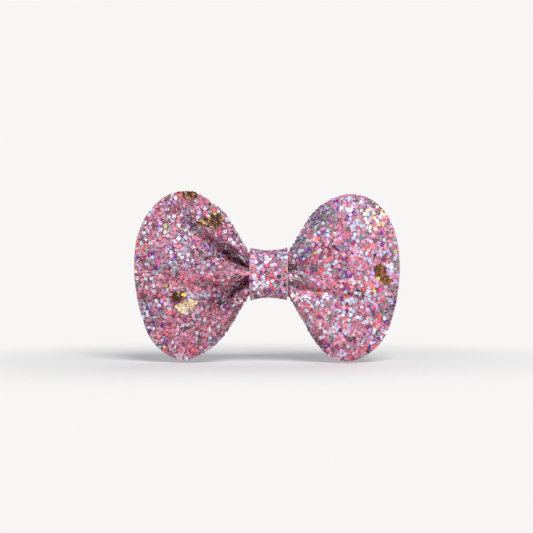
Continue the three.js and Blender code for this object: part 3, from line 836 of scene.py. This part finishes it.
def colour_at(rng, x, z, usual):
    """The colour of a flake at this place: from a cluster's mix, or the usual one with its patches."""
    mix, strength = usual, PATCH_STRENGTH
    for centre, half, share, cluster in CLUSTERS:
        if inside(x, z, centre, half) and rng.uniform() < share:
            mix, strength = cluster, 0
            break
    weights = np.array([
        weight * math.exp(strength * noise.noise(Vector((x * PATCHES, z * PATCHES, 7.3 * k))))
        for k, weight in enumerate(mix.values())])
    return list(mix)[rng.choice(len(mix), p=weights / weights.sum())]


def in_clusters(places):
    """The places that lie in a solid cluster, which gets more discs than the rest."""
    x, z = places[0][:, 0], places[0][:, 2]
    keep = np.zeros(len(x), bool)
    for centre, half, share, _ in CLUSTERS:
        if share == 1:
            keep |= inside(x, z, centre, half)
    return [values[keep] for values in places]


def on_canvas(point, normal, tangent, lift):
    """The matrix that stands a flake's Z axis on the canvas, lifted off it."""
    out, side = Vector(normal), Vector(tangent)
    turn = Matrix((side, out.cross(side), out)).transposed().to_4x4()
    return Matrix.Translation(Vector(point) + out * lift) @ turn


def rotation(angle, axis):
    return Matrix.Rotation(angle, 4, axis)


def disc_place(rng, point, normal, tangent):
    """A flake that lies on the coat, turned at random and tilted a little."""
    tilt = bpy.context.scene.bow_glitter.tilt
    lean = rotation(rng.normal(0, tilt), "X") @ rotation(rng.normal(0, tilt), "Y")
    spin = rotation(rng.uniform(0, math.tau), "Z")
    return on_canvas(point, normal, tangent, rng.uniform(*DISC_LIFT) * MM) @ lean @ spin


def sliver_place(rng, point, normal, tangent):
    """A flake that stands in the coat on its edge. Neighbours lean the same way, as combed."""
    comb = math.tau * noise.noise(Vector(point) * COMBED_PATCHES) + rng.normal(0, COMB_SPREAD)
    lean = rotation(rng.normal(*np.radians(SLIVER_TILT)), "X")
    spin = rotation(rng.uniform(0, math.tau), "Z")
    return on_canvas(point, normal, tangent, SLIVER_LIFT) @ rotation(comb, "Z") @ lean @ spin


def scatter_layer(rng, flakes, places, sizes, mix, placing, index):
    """Adds one layer of flakes to the bmesh, batch by batch."""
    glitter = bpy.context.scene.bow_glitter
    points, normals, tangents = places
    for first in range(0, len(points), FLAKE_BATCH):
        part = bmesh.new()
        for k in range(first, min(first + FLAKE_BATCH, len(points))):
            colour = colour_at(rng, points[k][0], points[k][2], mix)
            made = bmesh.ops.create_circle(
                part, cap_ends=True, radius=glitter.width / 2 * rng.uniform(*sizes), segments=6,
                matrix=placing(rng, points[k], normals[k], tangents[k]))
            made["verts"][0].link_faces[0].material_index = index[colour]
        bmesh.ops.solidify(part, geom=part.faces[:], thickness=glitter.thickness)
        bmesh.ops.recalc_face_normals(part, faces=part.faces)
        ready = bpy.data.meshes.new("batch")
        part.to_mesh(ready)
        part.free()
        flakes.from_mesh(ready)
        bpy.data.meshes.remove(ready)


def scatter_flakes(name, surface, outward, u_range, sliver_sizes, disc_spacing, tries, seed):
    """Punched hexagons of film on a surface: slivers that stand in the coat, and discs that lie on it."""
    glitter = bpy.context.scene.bow_glitter
    rng = np.random.default_rng(glitter.seed + seed)
    materials, index = flake_materials()
    flakes = bmesh.new()
    places = spread_evenly(rng, surface, outward, u_range, glitter.spacing, tries)
    scatter_layer(rng, flakes, places, sliver_sizes, SLIVER_MIX, sliver_place, index)
    places = spread_evenly(rng, surface, outward, u_range, CLUSTER_SPACING, tries)
    scatter_layer(rng, flakes, in_clusters(places), CLUSTER_SIZES, FLAKE_MIX, disc_place, index)
    places = spread_evenly(rng, surface, outward, u_range, disc_spacing * MM, tries)
    scatter_layer(rng, flakes, places, DISC_SIZES, FLAKE_MIX, disc_place, index)
    return new_piece(name, flakes, materials)


# ---------------------------------------------------------------- operators
class StageOperator(bpy.types.Operator):
    """Add the camera, the soft lights and a pale floor"""

    bl_idname = "hair_bow.add_stage"
    bl_label = "Add Stage"

    def execute(self, context):
        scene = context.scene
        scene.view_settings.view_transform = "Standard"
        centre = Vector((0, bow_middle(), 0))
        camera = bpy.data.objects.new("camera", bpy.data.cameras.new("camera"))
        camera.data.lens, camera.data.sensor_width = LENS, SENSOR
        camera.location = centre + Vector((VIEW_OFFSET[0], -VIEW_WIDTH * LENS / SENSOR, VIEW_OFFSET[1]))
        camera.rotation_euler = (math.pi / 2, 0, 0)
        camera.data.clip_start, camera.data.clip_end = 0.01, 20
        scene.collection.objects.link(camera)
        scene.camera = camera
        for name, place, size, power, colour in LIGHTS:
            light = bpy.data.objects.new(name, bpy.data.lights.new(name, "AREA"))
            light.data.size, light.data.energy, light.data.color = size, power, colour
            light.location = centre + Vector(place)
            light.rotation_euler = (centre - light.location).to_track_quat("-Z", "Y").to_euler()
            scene.collection.objects.link(light)
        self.add_world(scene)
        self.add_floor()
        return {"FINISHED"}

    def add_world(self, scene):
        scene.world = bpy.data.worlds.new("studio")
        scene.world.use_nodes = True
        graph = Graph(scene.world.node_tree)
        background = next(n for n in graph.tree.nodes if n.type == "BACKGROUND")
        seen = graph.add("ShaderNodeLightPath").outputs["Is Camera Ray"]
        graph.tree.links.new(graph.mix(seen, ROOM, PAPER), background.inputs["Color"])

    def add_floor(self):
        surface = Surface("floor_paper", Roughness=0.9)
        paper = surface.noise(surface.place(), 900.0, 5.0)
        surface.link(surface.mix(paper, *FLOOR_TONES), "Base Color")
        surface.bump(paper, 0.05 * MM, 0.5)
        far = surface.add("ShaderNodeVectorMath", {0: surface.place()}, operation="LENGTH").outputs["Value"]
        fade = surface.add(
            "ShaderNodeMapRange", {"Value": far, "From Min": 0.05, "From Max": 0.15},
            interpolation_type="SMOOTHSTEP").outputs[0]
        glow = surface.add("ShaderNodeEmission", {"Color": (*PAPER, 1)})
        blend = surface.add("ShaderNodeMixShader", {0: fade, 1: surface.shader.outputs[0], 2: glow.outputs[0]})
        output = next(n for n in surface.tree.nodes if n.type == "OUTPUT_MATERIAL")
        surface.tree.links.new(blend.outputs[0], output.inputs["Surface"])
        floor = bmesh.new()
        bmesh.ops.create_circle(floor, cap_ends=True, radius=4, segments=96)
        bmesh.ops.translate(floor, verts=floor.verts, vec=(0, 0, CAD_BOX[0].z - FLOOR_GAP))
        new_piece("floor", floor, [surface.material])


class CanvasOperator(bpy.types.Operator):
    """Add the pinched canvas panel with its pleats"""

    bl_idname = "hair_bow.add_canvas"
    bl_label = "Add Canvas"

    def execute(self, context):
        scene = context.scene
        sheet = slab(*PANEL_GRID, panel_surface(1), panel_surface(-1))
        materials = [
            glitter_coat_material(scene.bow_glitter), canvas_back_material(scene.bow_cloth),
            cut_edge_material(scene.bow_cloth)]
        canvas = new_piece("bow_canvas", sheet, materials, SOFT_CREASE)
        finish_piece(canvas, "bow", ["bow_panel"])
        return {"FINISHED"}


class FlakesOperator(bpy.types.Operator):
    """Scatter the chunky flakes over both wings and the band"""

    bl_idname = "hair_bow.add_flakes"
    bl_label = "Add Flakes"

    def execute(self, context):
        face = panel_surface(1)
        for name, u_range, slivers, spacing, seed in (
            ("left_wing_flakes", (0.007, 0.46), (0.7, 0.98), 1.25, 1),
            ("right_wing_flakes", (0.54, 0.993), (0.5, 0.8), 0.95, 2),
        ):
            flakes = scatter_flakes(name, face, -1, u_range, slivers, spacing, 30000, seed)
            finish_piece(flakes, "bow")
        band = band_surface(context.scene.bow_cloth.canvas)
        flakes = scatter_flakes("band_flakes", band, 1, (0.0, 1.0), (0.5, 0.8), 0.9, 9000, 3)
        finish_piece(flakes, "bow")
        return {"FINISHED"}


class BandOperator(bpy.types.Operator):
    """Wrap the centre band round the pinch and lap its ends behind"""

    bl_idname = "hair_bow.add_band"
    bl_label = "Add Band"

    def execute(self, context):
        scene = context.scene
        strip = slab(*BAND_GRID, band_surface(scene.bow_cloth.canvas), band_surface(0))
        materials = [bpy.data.materials[n] for n in ("glitter_coat", "canvas_back", "cut_edge")]
        band = new_piece("band_strip", strip, materials, SOFT_CREASE)
        finish_piece(band, "bow", ["center_band"])
        return {"FINISHED"}


class GatherOperator(bpy.types.Operator):
    """Finish the gathering thread and the two spots of hot glue"""

    bl_idname = "hair_bow.add_gathering"
    bl_label = "Add Thread and Glue"

    def execute(self, context):
        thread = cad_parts["gathering_thread"]
        thread.data.materials.clear()
        thread.data.materials.append(thread_material(context.scene.bow_cloth))
        glue = glue_material(context.scene.bow_clip)
        for node, name in (("band_glue_bead", "lap_glue"), ("clip_glue_bed", "clip_glue")):
            low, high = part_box(node)
            squeeze = Vector((0, GLUE_SPREAD, 0))
            low, high = low - squeeze, high + squeeze
            blob = bmesh.new()
            bmesh.ops.create_uvsphere(blob, u_segments=48, v_segments=24, radius=0.5)
            for vertex in blob.verts:
                swell = 0.07 * noise.noise(vertex.co * 3 + low * 1000)
                flat = Vector([max(-BLOB_FLAT, min(BLOB_FLAT, c)) / BLOB_FLAT * 0.5 for c in vertex.co])
                vertex.co = flat * (0.93 + swell)
            bmesh.ops.scale(blob, verts=blob.verts, vec=high - low)
            bmesh.ops.translate(blob, verts=blob.verts, vec=(low + high) / 2)
            piece = new_piece(name, blob, [glue], ROUND_CREASE)
            finish_piece(piece, "bow", [node])
        return {"FINISHED"}


class RibbonOperator(bpy.types.Operator):
    """Lay the grosgrain along the base jaw and fold it round the tip"""

    bl_idname = "hair_bow.add_ribbon"
    bl_label = "Add Ribbon"

    def execute(self, context):
        cloth = context.scene.bow_cloth
        low, high = RIBBON_BOX
        thick = RIBBON_THICK
        bend = (high.y - low.y) / 2
        fold_x = high.x - bend
        outer_run, turn_run = fold_x - low.x, math.pi * (bend - thick / 2)
        length = outer_run + turn_run + fold_x - RIBBON_END
        middle = (low.y + high.y) / 2
        half = (high.z - low.z) / 2

        def face(side):
            def surface(u, v):
                run = u * length
                wave = np.cos(math.tau * run / cloth.rib_pitch)
                offset = side * (thick / 2 - RIB_RELIEF + RIB_RELIEF * wave)
                angle = np.clip((run - outer_run) / turn_run, 0, 1) * math.pi - math.pi / 2
                x = np.where(run < outer_run, low.x + run, np.where(
                    run > outer_run + turn_run, fold_x - (run - outer_run - turn_run), fold_x))
                reach = bend - thick / 2 + offset
                z = (2 * v - 1) * (half - 0.03 * MM)
                z = z * (1 + 0.008 * wave)
                return np.stack([x + reach * np.cos(angle), middle + reach * np.sin(angle), z], axis=1)

            return surface

        strip = slab(int(length / cloth.rib_pitch * 8), 8, face(1), face(-1))
        grosgrain = ribbon_material(cloth)
        ribbon = new_piece("grosgrain_lining", strip, [grosgrain] * 3, ROUND_CREASE)
        finish_piece(ribbon, "bow", ["ribbon_lining"])
        return {"FINISHED"}


def crown_jaw(part):
    """Crowns the spring jaw across its width and presses grip ribs into its thumb tab."""
    low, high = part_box("clip_spring_jaw")
    half = high.z
    rib_start = low.x + RIB_START
    ribs_end = rib_start + THUMB_RIBS * RIB_PITCH
    cuts = [(2, z) for z in np.arange(-half, half, CROWN_CUTS)]
    cuts += [(0, x) for x in np.linspace(rib_start, ribs_end, 8 * THUMB_RIBS + 1)]
    for axis, place in cuts:
        normal = Vector([float(k == axis) for k in range(3)])
        bmesh.ops.bisect_plane(
            part, geom=part.verts[:] + part.edges[:] + part.faces[:], plane_co=normal * float(place),
            plane_no=normal)
    for vertex in part.verts:
        across = max(0.0, 1 - (vertex.co.z / half) ** 2)
        run = (vertex.co.x - rib_start) / RIB_PITCH
        rib = math.sin(math.pi * run) ** 2 if 0 < run < THUMB_RIBS else 0
        vertex.co.y += CROWN * across - RIB_DEPTH * rib * min(1.0, 2.5 * across)
    bmesh.ops.triangulate(part, faces=part.faces)


class ClipOperator(bpy.types.Operator):
    """Round the stamped edges of the jaws and the pin, and plate them"""

    bl_idname = "hair_bow.add_clip"
    bl_label = "Add Clip"

    def execute(self, context):
        clip = context.scene.bow_clip
        plated = metal_material("plated_steel", clip.steel, 0.004 * MM)
        for node, name, body in (
            ("clip_base_jaw", "base_jaw", "bow"), ("clip_spring_jaw", "spring_jaw", "jaw"),
            ("hinge_pin", "rivet", "bow"),
        ):
            part = bmesh.new()
            part.from_mesh(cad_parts[node].data)
            bmesh.ops.remove_doubles(part, verts=part.verts, dist=WELD)
            bmesh.ops.dissolve_limit(
                part, angle_limit=math.radians(1), verts=part.verts, edges=part.edges)
            sharp = [e for e in part.edges if e.is_manifold and e.calc_face_angle() > math.radians(40)]
            bmesh.ops.bevel(
                part, geom=sharp, offset=JAW_BEVEL, segments=2, profile=0.5, affect="EDGES",
                clamp_overlap=True, material=-1)
            bmesh.ops.triangulate(part, faces=part.faces)
            if name == "spring_jaw":
                crown_jaw(part)
            piece = new_piece(name, part, [plated], METAL_CREASE)
            finish_piece(piece, body, [node])
        return {"FINISHED"}


class SpringOperator(bpy.types.Operator):
    """Wind the torsion spring round the pin, with a leg along each jaw"""

    bl_idname = "hair_bow.add_spring"
    bl_label = "Add Spring"

    def execute(self, context):
        clip = context.scene.bow_clip
        wire = clip.wire_width
        low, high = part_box("torsion_spring")
        half = (high.z - low.z - wire) / 2
        pin = Vector((PIN_AXIS.x, PIN_AXIS.y, 0))
        foot = Vector((low.x, low.y + wire / 2, -half))
        start = pin + Vector((0, -COIL_RADIUS, -half))
        spring = bmesh.new()
        heading = (start - foot).to_track_quat("Z", "Y").to_matrix().to_4x4()
        ring = bmesh.ops.create_circle(
            spring, radius=wire / 2, segments=16, matrix=Matrix.Translation(foot) @ heading)
        loop = list({e for v in ring["verts"] for e in v.link_edges})

        def pull(loop, offset):
            made = bmesh.ops.extrude_edge_only(spring, edges=loop)["geom"]
            verts = [g for g in made if isinstance(g, bmesh.types.BMVert)]
            bmesh.ops.translate(spring, verts=verts, vec=offset)
            return [g for g in made if isinstance(g, bmesh.types.BMEdge) and all(v in verts for v in g.verts)]

        loop = pull(loop, start - foot)
        steps = int(COIL_TURNS * COIL_STEPS)
        coil = bmesh.ops.spin(
            spring, geom=loop, cent=pin, axis=(0, 0, 1), dvec=(0, 0, 2 * half / steps),
            angle=COIL_TURNS * math.tau, steps=steps, use_merge=False, use_duplicate=False)
        loop = [g for g in coil["geom_last"] if isinstance(g, bmesh.types.BMEdge)]
        tip = Vector((low.x, high.y - wire / 2, half))
        loop = pull(loop, tip - (pin + Vector((0, COIL_RADIUS, half))))
        bmesh.ops.holes_fill(spring, edges=[e for e in spring.edges if e.is_boundary])
        bmesh.ops.recalc_face_normals(spring, faces=spring.faces)
        material = metal_material("spring_wire", clip.wire, 0.015 * MM)
        piece = new_piece("spring_coil", spring, [material], ROUND_CREASE)
        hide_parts("torsion_spring")
        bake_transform(piece)
        return {"FINISHED"}


class HairBowPanel(bpy.types.Panel):
    """Lists the steps and the sizes in the 3D view's sidebar"""

    bl_idname = "VIEW3D_PT_hair_bow"
    bl_label = "Hair Bow"
    bl_space_type = "VIEW_3D"
    bl_region_type = "UI"
    bl_category = "Hair Bow"

    def draw(self, context):
        for step in STEPS:
            self.layout.operator(step.bl_idname)
        for settings in (context.scene.bow_glitter, context.scene.bow_cloth, context.scene.bow_clip):
            box = self.layout.box()
            for key in settings.bl_rna.properties.keys():
                if key not in ("name", "rna_type"):
                    box.prop(settings, key)


STEPS = (
    StageOperator, CanvasOperator, BandOperator, FlakesOperator, GatherOperator, RibbonOperator, ClipOperator,
    SpringOperator,
)
SETTINGS = {"bow_glitter": GlitterSettings, "bow_cloth": ClothSettings, "bow_clip": ClipSettings}


def register():
    for made in (*SETTINGS.values(), *STEPS, HairBowPanel):
        bpy.utils.register_class(made)
    for key, made in SETTINGS.items():
        setattr(bpy.types.Scene, key, PointerProperty(type=made))


def unregister():
    for key in SETTINGS:
        delattr(bpy.types.Scene, key)
    for made in reversed((*SETTINGS.values(), *STEPS, HairBowPanel)):
        bpy.utils.unregister_class(made)


def main():
    register()
    for step in STEPS:
        group, name = step.bl_idname.split(".")
        getattr(getattr(bpy.ops, group), name)()


if __name__ == "__main__":
    main()
